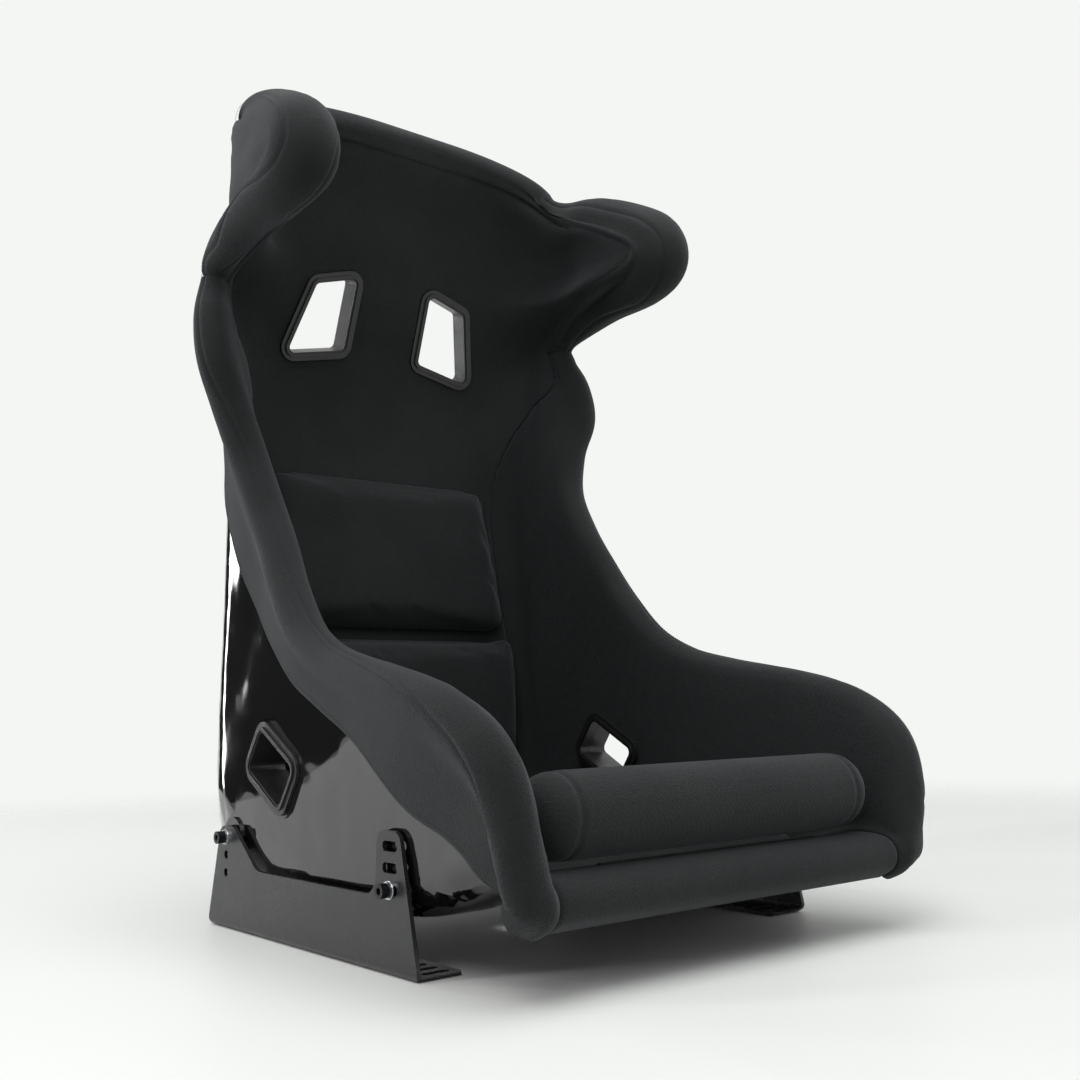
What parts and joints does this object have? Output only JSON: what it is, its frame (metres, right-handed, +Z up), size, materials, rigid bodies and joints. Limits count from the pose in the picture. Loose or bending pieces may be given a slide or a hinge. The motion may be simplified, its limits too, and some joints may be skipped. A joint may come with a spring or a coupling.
{
  "type": "racing seat",
  "caption": "Fixed-back racing seat with head wings, harness slots, loose hook-fastened cushions and steel side brackets.",
  "frame": {"origin": "floor level, at the centre of the slots in the feet of the two side brackets", "axes": "+X to the occupant's left, -Y the way the seat faces, +Z up"},
  "size_m": [0.5924, 0.6453, 0.9637],
  "materials": {
    "gelcoat": "gloss black moulded laminate",
    "trim_fabric": "black knitted fabric over foam",
    "cushion_fabric": "black knitted fabric over foam",
    "slot_plastic": "satin black moulding",
    "bracket_coating": "satin black powder coat",
    "black_steel": "black oxide",
    "zinc": "bright zinc",
    "spacer_plastic": "black plastic",
    "hook_tape": "woven hook tape"
  },
  "bodies": {
    "seat": {"seat_shell": "gelcoat", "back_cover": "trim_fabric", "base_cover": "trim_fabric", "front_lip_cover": "trim_fabric", "side_bolster_left": "trim_fabric", "side_bolster_right": "trim_fabric", "head_wing_pads": "trim_fabric", "shoulder_bezel_left": "slot_plastic", "shoulder_bezel_right": "slot_plastic", "shoulder_backing_ring_left": "slot_plastic", "shoulder_backing_ring_right": "slot_plastic", "lap_bezel_left": "slot_plastic", "lap_bezel_right": "slot_plastic", "lap_inner_ring_left": "slot_plastic", "lap_inner_ring_right": "slot_plastic", "crotch_bezel": "slot_plastic", "crotch_backing_ring": "slot_plastic", "side_bracket_left": "bracket_coating", "side_bracket_right": "bracket_coating", "side_bolts": "black_steel", "spring_washers": "zinc", "flat_washers": "zinc", "stand_off_spacers": "spacer_plastic", "threaded_inserts": "zinc", "upper_hook_strips": "hook_tape", "lumbar_hook_strips": "hook_tape", "base_hook_strips": "hook_tape", "roll_hook_strips": "hook_tape"},
    "upper_back_cushion": {"upper_back_cushion": "cushion_fabric"},
    "lumbar_cushion": {"lumbar_cushion": "cushion_fabric"},
    "base_cushion": {"base_cushion": "cushion_fabric"},
    "thigh_roll": {"thigh_roll": "cushion_fabric"}
  },
  "joints": [
    {"name": "upper_back_lift", "type": "slide", "parent": "seat", "child": "upper_back_cushion", "axis": [0, -1, 0], "range_m": [0, 0.65]},
    {"name": "lumbar_lift", "type": "slide", "parent": "seat", "child": "lumbar_cushion", "axis": [0, -0.995, 0.0998], "range_m": [0, 0.5]},
    {"name": "base_lift", "type": "slide", "parent": "seat", "child": "base_cushion", "axis": [0, 0, 1], "range_m": [0, 0.5]},
    {"name": "roll_lift", "type": "slide", "parent": "seat", "child": "thigh_roll", "axis": [0, -0.9, 0.4359], "range_m": [0, 0.25]}
  ]
}
